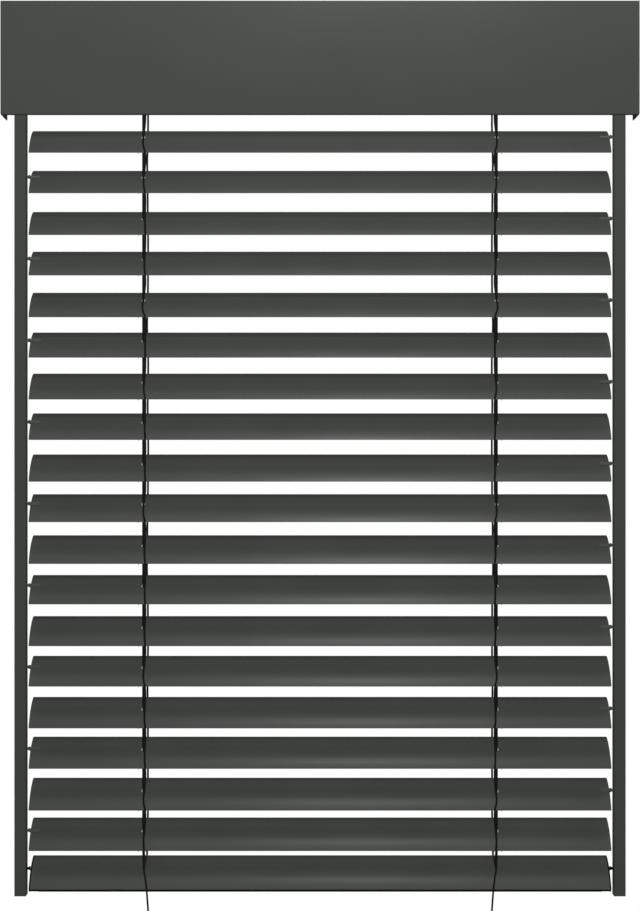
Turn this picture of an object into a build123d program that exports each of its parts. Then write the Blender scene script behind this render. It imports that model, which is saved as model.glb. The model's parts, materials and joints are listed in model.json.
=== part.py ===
from build123d import *
import os
from math import cos, pi, radians, sin

# Exterior venetian blind, in millimetres: +X right, +Y towards the window, +Z up.
# The origin is the middle of the ceiling bolts, on the ceiling.

# Curtain of slats
slat_count = 18
slat_length = 1021.0
slat_width = 80.0
slat_sheet = 0.45
slat_half_arc_deg = 24.0
slat_tilt_deg = 36.4
slat_pitch = 72.0
slat_stagger = 0.6
slat_corner = 2.0
first_pin_drop = 227.0
tape_slot_width = 6.6
tape_slot_length = 12.0
cord_place = 311.4

# Guide pins and gliders
pin_radius = 2.25
pin_rise = 1.5
pin_end_play = 0.8
pin_cone_radius = 4.2
pin_cone_length = 4.2
pin_cone_gap = 0.3
pin_tongue_length = 18.0
pin_tongue_width = 7.6
pin_tongue_sheet = 2.0
pin_tongue_edge = 1.2
pin_tongue_gap = 0.02
glider_radius = 4.0
glider_length = 8.0
glider_play = 0.05
glider_edge = 0.6

# Guide rails
rail_width = 20.5
rail_depth = 23.6
rail_wall = 1.6
rail_corner = 1.0
rail_foot = 47.2
rail_top_drop = 20.0
rail_to_slat = 6.5
rail_mouth = 6.4
channel_play = 0.3
channel_depth = 12.0
rail_screw_radius = 2.6
rail_screw_span = 1200.0
rail_screw_top_drop = 300.0

# Bottom rail
bottom_pin_gap = 66.5
bottom_skin = 1.4
bottom_lip = 1.0
bottom_cover_height = 7.5
bottom_cover_corner = 3.0
bottom_cover_inset = 0.4
bottom_tongue_height = 2.5
bottom_tongue_play = 0.3
bottom_cap_sheet = 2.5
bottom_plug_depth = 14.0
bottom_plug_drop = 4.5
bottom_plug_share = 0.5
bottom_slot_width = 12.0
bottom_slot_length = 16.0

# Ladder strings, lift tapes and cord tails
string_radius = 1.3
string_shift = 3.9
string_gap = 0.3
string_bend = 55.0
string_lead_drop = 60.0
string_hang_drop = 112.0
tape_width = 3.6
tape_sheet = 0.4
tape_lead = 12.0
tape_centre_drop = 77.0
tape_end_drop = 5.0
string_tuck = 22.0
string_tuck_bend = 12.0
string_end_gap = 1.3
tail_radius = 1.2
tail_run_share = 0.45

# Fascia
fascia_width = 1109.0
fascia_height = 198.0
fascia_front = 61.0
fascia_depth = 73.0
fascia_sheet = 2.0
fascia_bend = 2.5
fascia_flange = 25.0
fascia_hem = 8.0
cap_sheet = 1.5
cap_corner = 4.0
cap_short = 0.8
cap_tab = 12.0
cap_tab_gap = 8.0

# Head rail
head_width = 57.0
head_height = 51.0
head_sheet = 1.0
head_end_gap = 4.0
head_mouth = 44.0
inside_play = 0.1

# Ceiling brackets
bracket_inset = 113.0
bracket_length = 50.0
bracket_sheet = 3.0
bracket_overhang = 7.5
bracket_leg = 22.0
bracket_arm_short = 4.0
bracket_bolt_radius = 4.5
bracket_bolt_span = 40.0

# Adapters between the head rail and the guide rails
adapter_length = 16.0
adapter_height = 44.0
adapter_wall = 1.6
adapter_boss = 9.0
adapter_neck_play = 0.4
adapter_tongue_height = 30.0

# Drive
shaft_drop = 28.5
shaft_flats = 10.0
shaft_play = 0.1
shaft_overhang = 6.0
motor_length = 320.0
motor_width = 46.0
motor_corner = 7.0
motor_boss_radius = 13.0
motor_boss_length = 10.0
motor_grip = 7.0
reel_core_radius = 9.0
reel_flange_radius = 18.0
reel_flange_sheet = 2.0
reel_gap = 6.0
reel_hub_radius = 7.0
drum_radius = 19.0
drum_width = 10.0
drum_hub_radius = 8.5
drum_bore_radius = 6.3
drum_gap = 2.0
housing_wall = 3.0
housing_side_gap = 1.0
housing_bar = 4.0
housing_corner = 3.0
hub_play = 0.08

# Screws
screw_radius = 2.0
screw_head_radius = 4.2
screw_head_height = 2.4
screw_length = 9.0
clamp_screw_gap = 0.05
screw_play = 0.1
bracket_screw_drop = 14.0
adapter_screw_drop = 24.0

# Overrun of every cut past the face that it opens
overrun = 1.0

# Values that follow from the driving sizes
slat_radius = slat_width / 2 / sin(radians(slat_half_arc_deg))
slat_sag = slat_radius * (1 - cos(radians(slat_half_arc_deg)))
slat_end = slat_length / 2
rail_inner = slat_end + rail_to_slat
rail_outer = rail_inner + rail_width
channel_half = glider_radius + channel_play
glider_start = rail_inner + rail_wall + channel_play
pin_end = glider_start + glider_length - pin_end_play
head_top = bracket_sheet
head_bottom = head_top + head_height
head_end = rail_inner - head_end_gap
head_inside = head_width / 2 - head_sheet
bracket_place = head_end - bracket_inset
fascia_back = fascia_depth - fascia_front
panel_end = fascia_width / 2 - cap_sheet
shaft_corner_radius = shaft_flats / 2 / cos(radians(30))
reel_half = reel_gap / 2 + reel_flange_sheet
drum_start = cord_place + reel_half + drum_gap
drum_end = drum_start + drum_width
housing_start = cord_place - reel_half - housing_side_gap - housing_wall
housing_end = drum_end + housing_side_gap + housing_wall
motor_end = motor_length / 2
bottom_pin_drop = first_pin_drop + slat_pitch * (slat_count - 1) + bottom_pin_gap
rail_bottom_drop = bottom_pin_drop + rail_foot


def span(x, y, z):
    # Block between two places along each axis.
    centre = Pos((x[0] + x[1]) / 2, (y[0] + y[1]) / 2, (z[0] + z[1]) / 2)
    return centre * Box(abs(x[1] - x[0]), abs(y[1] - y[0]), abs(z[1] - z[0]))


def area(y, z):
    # Rectangle between two places in a cross-section.
    return Pos((y[0] + y[1]) / 2, (z[0] + z[1]) / 2) * Rectangle(abs(y[1] - y[0]), abs(z[1] - z[0]))


def along_x(section, start, end):
    # Cross-section drawn in Y and Z, run from one place in X to another.
    return extrude(Pos(X=start) * (Plane.YZ * section), amount=end - start, dir=(1, 0, 0))


def rod(radius, start, end):
    # Round bar on the X axis.
    return Pos(X=(start + end) / 2) * Rot(Y=90) * Cylinder(radius, abs(end - start))


def mirrored(shape):
    return mirror(shape, about=Plane.YZ)


def both_sides(shape):
    return Compound([*shape.solids(), *mirrored(shape).solids()])


def arc_strip(radius, sheet, half_arc_deg):
    # Curved sheet in section, with the crown of its middle line at the origin.
    outer = CenterArc((0, -radius), radius + sheet / 2, 90 - half_arc_deg, 2 * half_arc_deg)
    inner = CenterArc((0, -radius), radius - sheet / 2, 90 - half_arc_deg, 2 * half_arc_deg)
    return make_face([outer, Line(outer @ 1, inner @ 1), inner, Line(inner @ 0, outer @ 0)])


def tape_slots(length, width):
    slot = SlotOverall(length, width, rotation=90)
    return Pos(X=cord_place) * slot + Pos(X=-cord_place) * slot


def pin_place(index):
    # Height of a slat's pin: the slats hang a little low and a little high by turns.
    stagger = slat_stagger if index % 2 else -slat_stagger
    return stagger - first_pin_drop - slat_pitch * index


def on_pin(height):
    # From a slat's own frame, crown at the origin, to its tilted place on the pin axis.
    return Pos(Z=height) * Rot(X=slat_tilt_deg) * Pos(Z=-pin_rise)


def slat_blank():
    strip = along_x(arc_strip(slat_radius, slat_sheet, slat_half_arc_deg), -slat_end, slat_end)
    plan = RectangleRounded(slat_length, slat_width + 2 * slat_sheet, slat_corner)
    plan -= tape_slots(tape_slot_length, tape_slot_width)
    return strip & extrude(plan, amount=slat_width, both=True)


def pin_cone(start):
    # Round shoulder of a pin, narrowing away from the slat's end.
    middle = Pos(start + pin_cone_length / 2, 0, pin_rise)
    return middle * Rot(Y=90) * Cone(pin_cone_radius, pin_radius, pin_cone_length)


def guide_pin():
    # Pin of the right end: a rounded tongue on the slat's crown, a shoulder and the round pin.
    tongue_start = slat_end - pin_tongue_length
    cone_start = slat_end + pin_cone_gap
    tongue_end = cone_start + pin_cone_gap
    tongue_low = slat_sheet / 2 + pin_tongue_gap
    middle = Pos((tongue_start + tongue_end) / 2, 0, tongue_low + pin_tongue_sheet / 2)
    tongue = middle * Box(tongue_end - tongue_start, pin_tongue_width, pin_tongue_sheet)
    ends = tongue.edges().filter_by(Axis.Z).group_by(Axis.X)[0]
    tongue = fillet(ends, pin_tongue_width / 2 - pin_tongue_gap)
    sides = tongue.edges().group_by(Axis.Z)[-1].filter_by(Axis.X)
    tongue = chamfer(sides, pin_tongue_edge)
    return tongue + pin_cone(cone_start) + Pos(Z=pin_rise) * rod(pin_radius, cone_start, pin_end)


def glider():
    # Sleeve on the right end of a pin.
    end = glider_start + glider_length
    sleeve = chamfer(rod(glider_radius, glider_start, end).edges(), glider_edge)
    return sleeve - rod(pin_radius + glider_play, glider_start - overrun, end + overrun)


def guide_rail():
    # Extrusion of the right side: guide channel open to the slats, a hollow before and behind it.
    outline = RectangleRounded(rail_width, rail_depth, rail_corner)
    channel_start = rail_wall - rail_width / 2
    channel = area((channel_start, channel_start + channel_depth), (-channel_half, channel_half))
    mouth = area((-rail_width / 2 - overrun, channel_start + overrun), (-rail_mouth / 2, rail_mouth / 2))
    hollow_low = channel_half + rail_wall
    hollow_high = rail_depth / 2 - rail_wall
    hollow = area((channel_start, rail_width / 2 - rail_wall), (hollow_low, hollow_high))
    section = outline - channel - mouth - hollow - mirror(hollow, about=Plane.XZ)
    rail = extrude(Pos(Z=-rail_bottom_drop) * section, amount=rail_bottom_drop - rail_top_drop)
    rail = Pos(X=rail_inner + rail_width / 2) * rail
    for drop in (rail_screw_top_drop, rail_screw_top_drop + rail_screw_span):
        rail -= Pos(Z=-drop) * rod(rail_screw_radius, rail_inner + channel_depth, rail_outer + overrun)
    return rail


def under_crown(radius, half, depth):
    # Area below an arc whose crown is at the origin, down to a depth.
    edge = (radius**2 - half**2) ** 0.5 - radius
    top = ThreePointArc((-half, edge), (0, 0), (half, edge))
    return make_face([top, Polyline(top @ 1, (half, -depth), (-half, -depth), top @ 0)])


# Depth of the bottom rail's shell below its crown, and of its cover below that
shell_depth = slat_sag + bottom_lip
cover_depth = shell_depth + bottom_cover_height
shell_inner_radius = slat_radius + slat_sheet / 2 - bottom_skin
tongue_rise = shell_depth - bottom_tongue_height - bottom_skin - bottom_tongue_play
tongue_half = (shell_inner_radius**2 - (shell_inner_radius - tongue_rise)**2) ** 0.5


def bottom_shell():
    outer_radius = slat_radius + slat_sheet / 2
    half = slat_width / 2
    section = under_crown(outer_radius, half, shell_depth)
    hollow = under_crown(shell_inner_radius, half - bottom_skin, shell_depth + overrun)
    section -= Pos(Y=-bottom_skin) * hollow
    rib_start = tongue_half + bottom_tongue_play
    rib = area((rib_start, rib_start + bottom_skin), (-shell_depth, 0))
    ribs = rib + mirror(rib, about=Plane.YZ)
    section += ribs & under_crown(outer_radius, half, shell_depth)
    shell_end = slat_end - bottom_cap_sheet
    shell = along_x(section, -shell_end, shell_end)
    plan = tape_slots(bottom_slot_length, bottom_slot_width)
    return shell - extrude(plan, amount=shell_depth, both=True)


def bottom_cover():
    # Black profile that closes the shell from below, with a tongue that snaps into it.
    half = slat_width / 2 - bottom_cover_inset
    plate = area((-half, half), (-cover_depth, -shell_depth))
    plate = fillet(plate.vertices().group_by(Axis.Y)[0], bottom_cover_corner)
    tongue = area((-tongue_half, tongue_half), (-shell_depth, bottom_tongue_height - shell_depth))
    hollow_half = tongue_half - bottom_skin
    hollow = area((-hollow_half, hollow_half), (bottom_skin - cover_depth, overrun))
    cover_end = slat_end - bottom_cap_sheet - bottom_plug_depth
    return along_x(plate + tongue - hollow, -cover_end, cover_end)


def bottom_cap():
    # Plug of the right end, with the bottom rail's guide pin.
    half = slat_width / 2 - bottom_cover_inset
    outline = under_crown(slat_radius + slat_sheet / 2, half, cover_depth)
    outline = fillet(outline.vertices().group_by(Axis.Y)[0], bottom_cover_corner)
    start = slat_end - bottom_cap_sheet
    plate = along_x(outline, start, slat_end)
    low_half = half - bottom_cover_inset
    foot = area((-low_half, low_half), (-cover_depth + bottom_cover_inset, -shell_depth))
    foot = fillet(foot.vertices().group_by(Axis.Y)[0], bottom_cover_corner)
    block_start = start - bottom_plug_depth
    plug_half = half * bottom_plug_share
    plug_top = -bottom_plug_drop
    plug = span((block_start, start), (-plug_half, plug_half), (plug_top, -shell_depth))
    pin = Pos(Z=pin_rise) * rod(pin_radius, slat_end, pin_end)
    return plate + along_x(foot, block_start, start) + plug + pin_cone(slat_end) + pin


def edge_place(side):
    # Y of the slats' edges at rest: side -1 is the front, side 1 the rear.
    reach = pin_rise + slat_sag
    return reach * sin(radians(slat_tilt_deg)) + side * slat_width / 2 * cos(radians(slat_tilt_deg))


def ladder_string(side):
    # String of the right ladder, from its tilt drum down along the slats' edges.
    # The front one ends in the bottom rail's tape slot, the rear one at the bottom rail's rear edge.
    hang_x = cord_place - string_shift
    hang_y = edge_place(side) + side * (string_radius + string_gap)
    drum_y = side * (drum_radius + string_radius)
    drum_x = drum_start + drum_width / 2
    rear_edge = slat_width / 2 * sin(radians(slat_tilt_deg)) - slat_sag * cos(radians(slat_tilt_deg))
    points = [
        (drum_x, drum_y, -shaft_drop),
        (drum_x, drum_y, -string_lead_drop),
        (hang_x, hang_y, -string_hang_drop),
    ]
    bends = [string_bend, string_bend]
    if side < 0:
        slot_y = -string_radius - tape_sheet / 2 - string_end_gap
        points.append((hang_x, hang_y, string_tuck - bottom_pin_drop))
        points.append((hang_x, slot_y, -bottom_pin_drop))
        bends.append(string_tuck_bend)
    else:
        points.append((hang_x, hang_y, rear_edge - bottom_pin_drop))
    path = FilletPolyline(*points, radius=bends)
    return sweep(Plane(path @ 0, z_dir=path % 0) * Circle(string_radius), path)


def lift_tape():
    # Flat tape from the right reel, led to the slots' middle and down into the bottom rail.
    reel_y = -reel_core_radius - tape_sheet / 2 - inside_play
    route = [
        (reel_y, -shaft_drop),
        (reel_y, -shaft_drop - tape_lead),
        (0, -tape_centre_drop),
        (0, -bottom_pin_drop - tape_end_drop),
    ]
    front = [(y - tape_sheet / 2, z) for y, z in route]
    rear = [(y + tape_sheet / 2, z) for y, z in reversed(route)]
    section = make_face(Polyline(*front, *rear, close=True))
    return along_x(section, cord_place - tape_width / 2, cord_place + tape_width / 2)


# Right cord tail as X, Y and drop below the bottom pin: out of the slot, over the rail and down
tail_route = [
    (310.6, -2.8, 2.0),
    (308.2, -10.9, 8.8),
    (306.5, -18.0, 16.5),
    (304.8, -24.2, 24.9),
    (303.5, -28.4, 31.8),
    (302.4, -29.7, 44.0),
    (301.5, -29.9, 57.0),
    (300.2, -29.6, 74.5),
]


def tail():
    radii = []
    route = [Vector(x, y, -bottom_pin_drop - drop) for x, y, drop in tail_route]
    for before, corner, after in zip(route, route[1:], route[2:]):
        arriving = corner - before
        leaving = after - corner
        half_turn = radians(arriving.get_angle(leaving) / 2)
        shorter = min(arriving.length, leaving.length)
        radii.append(tail_run_share * shorter * cos(half_turn) / sin(half_turn))
    print("tail radii", [round(radius, 1) for radius in radii])
    path = FilletPolyline(*route, radius=radii)
    tube = sweep(Plane(path @ 0, z_dir=path % 0) * Circle(tail_radius), path)
    whole = path.length * pi * tail_radius**2
    print("tail length", round(path.length, 1), "volume share", round(tube.volume / whole, 4))
    return tube


def fascia_panel():
    front = area((-fascia_front, fascia_sheet - fascia_front), (-fascia_height, 0))
    flange = area((-fascia_front, fascia_flange - fascia_front), (-fascia_sheet, 0))
    hem = area((-fascia_front, fascia_hem - fascia_front), (-fascia_height, fascia_sheet - fascia_height))
    section = front + flange + hem
    section = fillet(section.vertices().group_by(Axis.X)[0], fascia_bend)
    return along_x(section, -panel_end, panel_end)


def fascia_end_cap():
    # Right end cap: a thin plate with two tabs behind the panel.
    cap_low = cap_short - fascia_height
    outline = area((-fascia_front, fascia_back), (cap_low, 0))
    outline = fillet(outline.vertices(), fascia_bend)
    cap = along_x(outline, panel_end, panel_end + cap_sheet)
    tab_y = (fascia_sheet - fascia_front, fascia_sheet - fascia_front + cap_sheet)
    tab_low = fascia_sheet + cap_tab_gap - fascia_height
    tab_high = -fascia_sheet - cap_tab_gap
    tab = span((panel_end - cap_tab, panel_end), tab_y, (tab_low, tab_high))
    tab = fillet(tab.edges().filter_by(Axis.Y).group_by(Axis.X)[0], cap_corner)
    return cap + tab


def head_rail():
    # Folded channel, open below between two lips.
    half = head_width / 2
    section = area((-half, half), (-head_bottom, -head_top))
    section -= area((-head_inside, head_inside), (head_sheet - head_bottom, -head_top - head_sheet))
    mouth_z = (-head_bottom - overrun, 2 * head_sheet - head_bottom)
    section -= area((-head_mouth / 2, head_mouth / 2), mouth_z)
    rail = along_x(section, -head_end, head_end)
    for hole in adapter_screw_holes():
        rail -= hole
    return rail


def adapter_screw_holes():
    x = head_end - adapter_length / 2
    across = Rot(X=90) * Cylinder(screw_radius + screw_play, head_width + 2 * overrun)
    return [Pos(side * x, 0, -adapter_screw_drop) * across for side in (-1, 1)]


def ceiling_bracket():
    # Right bracket: bolted plate, two legs that grip the head rail, an arm under the fascia's flange.
    half = head_width / 2
    reach = half + bracket_overhang
    plate = area((-reach, reach), (-bracket_sheet, 0))
    front_leg = area((-half - bracket_sheet, -half), (-bracket_leg, 0))
    rear_leg = area((half, half + bracket_sheet), (-bracket_leg, 0))
    arm_front = fascia_sheet + bracket_arm_short - fascia_front
    arm = area((arm_front, -half), (-fascia_sheet - bracket_sheet, -fascia_sheet))
    plate -= area((-fascia_front, fascia_flange - fascia_front), (-fascia_sheet, overrun))
    start = bracket_place - bracket_length / 2
    bracket = along_x(plate + front_leg + rear_leg + arm, start, start + bracket_length)
    for y in (-bracket_bolt_span / 2, bracket_bolt_span / 2):
        bracket -= Pos(bracket_place, y, 0) * Cylinder(bracket_bolt_radius, 2 * bracket_sheet + overrun)
    hole = Rot(X=90) * Cylinder(screw_radius + screw_play, bracket_sheet + 2 * overrun)
    return bracket - Pos(bracket_place, half + bracket_sheet / 2, -bracket_screw_drop) * hole


def rail_adapter():
    # Right adapter: a plug in the head rail's end, with a tongue in the guide rail's channel.
    side = head_inside - inside_play
    top = -head_top - head_sheet - inside_play
    block_start = head_end - adapter_length
    block = span((block_start, rail_inner), (-side, side), (top - adapter_height, top))
    inner = side - adapter_wall
    pocket_z = (top - adapter_height - overrun, top - adapter_wall)
    block -= span((block_start - overrun, head_end - adapter_wall), (-inner, inner), pocket_z)
    boss_z = (top, -adapter_screw_drop - screw_head_radius)
    boss = span((block_start, head_end), (inner - adapter_boss, side), boss_z)
    block += boss + mirror(boss, about=Plane.XZ)
    neck_half = rail_mouth / 2 - adapter_neck_play
    tongue_half = channel_half - adapter_neck_play
    low = -rail_top_drop - adapter_tongue_height
    neck_x = (rail_inner - overrun, glider_start + overrun)
    neck = span(neck_x, (-neck_half, neck_half), (low, -rail_top_drop))
    tongue_start = rail_inner + rail_wall + adapter_neck_play
    tongue_end = rail_inner + rail_wall + channel_depth - adapter_neck_play
    tongue = span((tongue_start, tongue_end), (-tongue_half, tongue_half), (low, -rail_top_drop))
    block += neck + tongue
    for hole in adapter_screw_holes():
        block -= hole
    return block


def on_shaft(shape):
    return Pos(Z=-shaft_drop) * shape


def hexagon(play):
    return Rot(Z=90) * RegularPolygon(shaft_flats / 2 + play, 6, major_radius=False)


def drive_motor():
    height = 2 * (shaft_drop - head_top - head_sheet - inside_play)
    body = along_x(RectangleRounded(motor_width, height, motor_corner), -motor_end, motor_end)
    boss = rod(motor_boss_radius, motor_end, motor_end + motor_boss_length)
    body += boss + mirrored(boss)
    socket = rod(shaft_corner_radius + shaft_play, motor_end, motor_end + motor_boss_length + overrun)
    return on_shaft(body - socket - mirrored(socket))


def drive_shaft():
    # Right half of the shaft, from the motor's socket to past the housing.
    start = motor_end + motor_boss_length - motor_grip
    return on_shaft(along_x(hexagon(0), start, housing_end + shaft_overhang))


def tape_reel():
    # Right reel: two flanges on a core, with a hub that turns in the housing's inner wall.
    flange = rod(reel_flange_radius, cord_place + reel_gap / 2, cord_place + reel_half)
    other = rod(reel_flange_radius, cord_place - reel_half, cord_place - reel_gap / 2)
    core = rod(reel_core_radius, cord_place - reel_half, cord_place + reel_half)
    hub = rod(reel_hub_radius, housing_start - overrun, cord_place)
    bore = along_x(hexagon(shaft_play), housing_start - 2 * overrun, cord_place + reel_half + overrun)
    return on_shaft(flange + other + core + hub - bore)


def tilt_drum():
    # Right drum: carries the ladder's two strings and turns in the housing's outer wall.
    drum = rod(drum_radius, drum_start, drum_end)
    hub = rod(drum_hub_radius, drum_end, housing_end + overrun)
    bore = rod(drum_bore_radius, drum_start - overrun, housing_end + 2 * overrun)
    return on_shaft(drum + hub - bore)


def bearing_housing():
    # Right housing: two walls under a bridge, with tie bars below.
    side = head_inside - inside_play
    top = -head_top - head_sheet - inside_play
    low = 2 * head_sheet + inside_play - head_bottom
    wall = area((-side, side), (low, top))
    wall = fillet(wall.vertices().group_by(Axis.Y)[0], housing_corner)
    inner_wall = along_x(wall, housing_start, housing_start + housing_wall)
    outer_wall = along_x(wall, housing_end - housing_wall, housing_end)
    inner_wall -= on_shaft(rod(reel_hub_radius + hub_play, housing_start - overrun, cord_place))
    outer_wall -= on_shaft(rod(drum_hub_radius + hub_play, drum_end, housing_end + overrun))
    bridge = span((housing_start, housing_end), (-side, side), (top - housing_wall, top))
    housing = inner_wall + outer_wall + bridge
    bar_z = (low + housing_corner, low + housing_corner + housing_bar)
    for y in (-side, side - housing_bar):
        housing += span((housing_start, housing_end), (y, y + housing_bar), bar_z)
    return housing


def screw(length):
    # Pan-head screw that points along -Y from a face at the origin.
    head = Rot(X=90) * Pos(Z=-screw_head_height / 2) * Cylinder(screw_head_radius, screw_head_height)
    head = fillet(head.edges().group_by(Axis.Y)[-1], screw_head_height / 2)
    shank = Rot(X=90) * Pos(Z=length / 2) * Cylinder(screw_radius, length)
    return head + shank


def screws():
    half = head_width / 2
    clamp = screw(bracket_sheet - clamp_screw_gap)
    clamp = Pos(bracket_place, half + bracket_sheet, -bracket_screw_drop) * clamp
    x = head_end - adapter_length / 2
    rear = Pos(x, half, -adapter_screw_drop) * screw(screw_length)
    front = mirror(rear, about=Plane.XZ)
    return both_sides(Compound([*clamp.solids(), *rear.solids(), *front.solids()]))


os.makedirs("parts", exist_ok=True)


def write(name, shape):
    export_step(shape, f"parts/{name}.step")


blank = slat_blank()
right_pin = guide_pin()
pins = (right_pin, mirrored(right_pin))
right_glider = glider()
gliders = (right_glider, mirrored(right_glider))

# Slats with their pins, and the gliders on the pins: right and left ends by turns
for index in range(slat_count):
    slat = on_pin(pin_place(index)) * Compound([*blank.solids(), *pins[index % 2].solids()])
    write(f"slat_{index + 1:02d}", slat)
    write(f"glider_{index + 1:02d}", Pos(Z=pin_place(index)) * gliders[index % 2])

bottom_place = on_pin(-bottom_pin_drop)
write("bottom_rail", bottom_place * bottom_shell())
write("bottom_rail_cover", bottom_place * bottom_cover())
write("bottom_rail_end_caps", bottom_place * both_sides(bottom_cap()))
write("bottom_gliders", Pos(Z=-bottom_pin_drop) * both_sides(right_glider))

write("ladder_strings_front", both_sides(ladder_string(-1)))
write("ladder_strings_rear", both_sides(ladder_string(1)))
write("lift_tapes", both_sides(lift_tape()))
right_tail = tail()
write("cord_tail_right", right_tail)
write("cord_tail_left", mirrored(right_tail))

write("fascia_panel", fascia_panel())
right_cap = fascia_end_cap()
write("fascia_end_cap_right", right_cap)
write("fascia_end_cap_left", mirrored(right_cap))

write("head_rail", head_rail())
write("ceiling_brackets", both_sides(ceiling_bracket()))
write("rail_adapters", both_sides(rail_adapter()))
right_rail = guide_rail()
write("guide_rail_right", right_rail)
write("guide_rail_left", mirrored(right_rail))

write("drive_motor", drive_motor())
write("drive_shaft", both_sides(drive_shaft()))
write("tape_reels", both_sides(tape_reel()))
write("tilt_drums", both_sides(tilt_drum()))
right_housing = bearing_housing()
write("bearing_housing_right", right_housing)
write("bearing_housing_left", mirrored(right_housing))
write("screws", screws())
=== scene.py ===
import bmesh
import bpy
import json
import math
from mathutils import Matrix, Vector


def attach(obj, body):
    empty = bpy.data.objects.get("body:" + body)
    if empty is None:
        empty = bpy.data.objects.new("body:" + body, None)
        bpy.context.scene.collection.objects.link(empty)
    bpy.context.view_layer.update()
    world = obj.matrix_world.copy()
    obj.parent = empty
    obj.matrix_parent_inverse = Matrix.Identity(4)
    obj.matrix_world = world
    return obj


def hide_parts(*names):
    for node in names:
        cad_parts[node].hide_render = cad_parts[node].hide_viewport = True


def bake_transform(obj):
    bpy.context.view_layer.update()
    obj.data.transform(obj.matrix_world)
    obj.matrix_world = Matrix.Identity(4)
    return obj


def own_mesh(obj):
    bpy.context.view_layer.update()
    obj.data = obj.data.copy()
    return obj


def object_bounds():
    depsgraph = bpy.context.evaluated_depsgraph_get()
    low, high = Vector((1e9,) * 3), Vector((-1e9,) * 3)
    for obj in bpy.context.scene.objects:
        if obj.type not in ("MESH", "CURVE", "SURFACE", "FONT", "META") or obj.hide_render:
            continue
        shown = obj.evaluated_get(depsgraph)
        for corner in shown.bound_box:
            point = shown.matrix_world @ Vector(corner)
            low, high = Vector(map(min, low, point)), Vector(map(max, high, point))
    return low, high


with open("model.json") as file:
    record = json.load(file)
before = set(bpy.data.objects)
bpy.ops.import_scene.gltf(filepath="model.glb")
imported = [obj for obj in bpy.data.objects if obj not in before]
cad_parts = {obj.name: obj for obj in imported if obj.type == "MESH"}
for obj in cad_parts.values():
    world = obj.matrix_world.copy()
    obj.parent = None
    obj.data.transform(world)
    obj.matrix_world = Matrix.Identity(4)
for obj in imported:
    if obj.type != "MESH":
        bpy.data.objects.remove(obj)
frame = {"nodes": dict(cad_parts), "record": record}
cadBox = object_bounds()
nodes = frame["nodes"]
joints = {joint["name"]: joint for joint in frame["record"]["behaviour"]["joints"]}


# Camera, straight on as in the photograph: focal length for a 36 mm sensor on the long side
cameraView = {"place": (0.0, -3.721, -0.7896), "lens": 83.38, "sensor": 36.0}

cameraData = bpy.data.cameras.new("frontCamera")
cameraData.lens = cameraView["lens"]
cameraData.sensor_width = cameraView["sensor"]
cameraObject = bpy.data.objects.new("frontCamera", cameraData)
cameraObject.location = cameraView["place"]
cameraObject.rotation_euler = (math.pi / 2, 0.0, 0.0)
bpy.context.collection.objects.link(cameraObject)
bpy.context.scene.camera = cameraObject
bpy.context.scene.view_settings.view_transform = "Standard"
print("camera set")


# Node groups shared by the finishes; a span is what becomes 0 to 1
grainShape = {"span": (0.3, 0.7), "strandSpan": (-0.6, 1.0), "peelDetail": 3.0, "mottleDetail": 4.0,
              "streakDetail": 2.0, "grainDetail": 2.0, "toneScale": 40.0, "toneDetail": 3.0,
              "pitScale": 700.0, "pitDetail": 3.0}


def startGroup(name, inputs, outputs):
    group = bpy.data.node_groups.new(name, "ShaderNodeTree")
    for label, value in inputs.items():
        socket = group.interface.new_socket(label, in_out="INPUT", socket_type="NodeSocketFloat")
        socket.default_value = value
    for label in outputs:
        group.interface.new_socket(label, in_out="OUTPUT", socket_type="NodeSocketFloat")
    return group, group.nodes.new("NodeGroupInput"), group.nodes.new("NodeGroupOutput")


def mathNode(tree, operation, first, second=None):
    node = tree.nodes.new("ShaderNodeMath")
    node.operation = operation
    for index, value in enumerate((first, second)):
        if value is None:
            continue
        if isinstance(value, (int, float)):
            node.inputs[index].default_value = value
        else:
            tree.links.new(value, node.inputs[index])
    return node.outputs[0]


def noiseNode(tree, vector, scale, detail):
    node = tree.nodes.new("ShaderNodeTexNoise")
    node.inputs["Detail"].default_value = detail
    tree.links.new(vector, node.inputs["Vector"])
    if isinstance(scale, (int, float)):
        node.inputs["Scale"].default_value = scale
    else:
        tree.links.new(scale, node.inputs["Scale"])
    return node.outputs["Fac"]


def rampNode(tree, factor, low, high):
    node = tree.nodes.new("ShaderNodeMapRange")
    tree.links.new(factor, node.inputs["Value"])
    node.inputs["From Min"].default_value = low
    node.inputs["From Max"].default_value = high
    return node.outputs["Result"]


# Lacquer: fine orange peel and wide mottling
def lacquerGroup():
    group, start, end = startGroup("lacquerSkin", {"Peel": 2600.0, "Mottle": 9.0}, ("Height", "Tone"))
    place = group.nodes.new("ShaderNodeTexCoord").outputs["Object"]
    peel = noiseNode(group, place, start.outputs["Peel"], grainShape["peelDetail"])
    tone = noiseNode(group, place, start.outputs["Mottle"], grainShape["mottleDetail"])
    group.links.new(peel, end.inputs["Height"])
    group.links.new(rampNode(group, tone, *grainShape["span"]), end.inputs["Tone"])
    return group


# Long faint lines from rolling or drawing: the direction with the smallest scale is the lines' own
def drawnGroup():
    group, start, end = startGroup("drawnLines", {"X": 900.0, "Y": 900.0, "Z": 900.0}, ("Streak",))
    place = group.nodes.new("ShaderNodeTexCoord").outputs["Object"]
    stretch = group.nodes.new("ShaderNodeVectorMath")
    stretch.operation = "MULTIPLY"
    size = group.nodes.new("ShaderNodeCombineXYZ")
    for axis in ("X", "Y", "Z"):
        group.links.new(start.outputs[axis], size.inputs[axis])
    group.links.new(place, stretch.inputs[0])
    group.links.new(size.outputs[0], stretch.inputs[1])
    streak = noiseNode(group, stretch.outputs[0], 1.0, grainShape["streakDetail"])
    group.links.new(rampNode(group, streak, *grainShape["span"]), end.inputs["Streak"])
    return group


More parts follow.
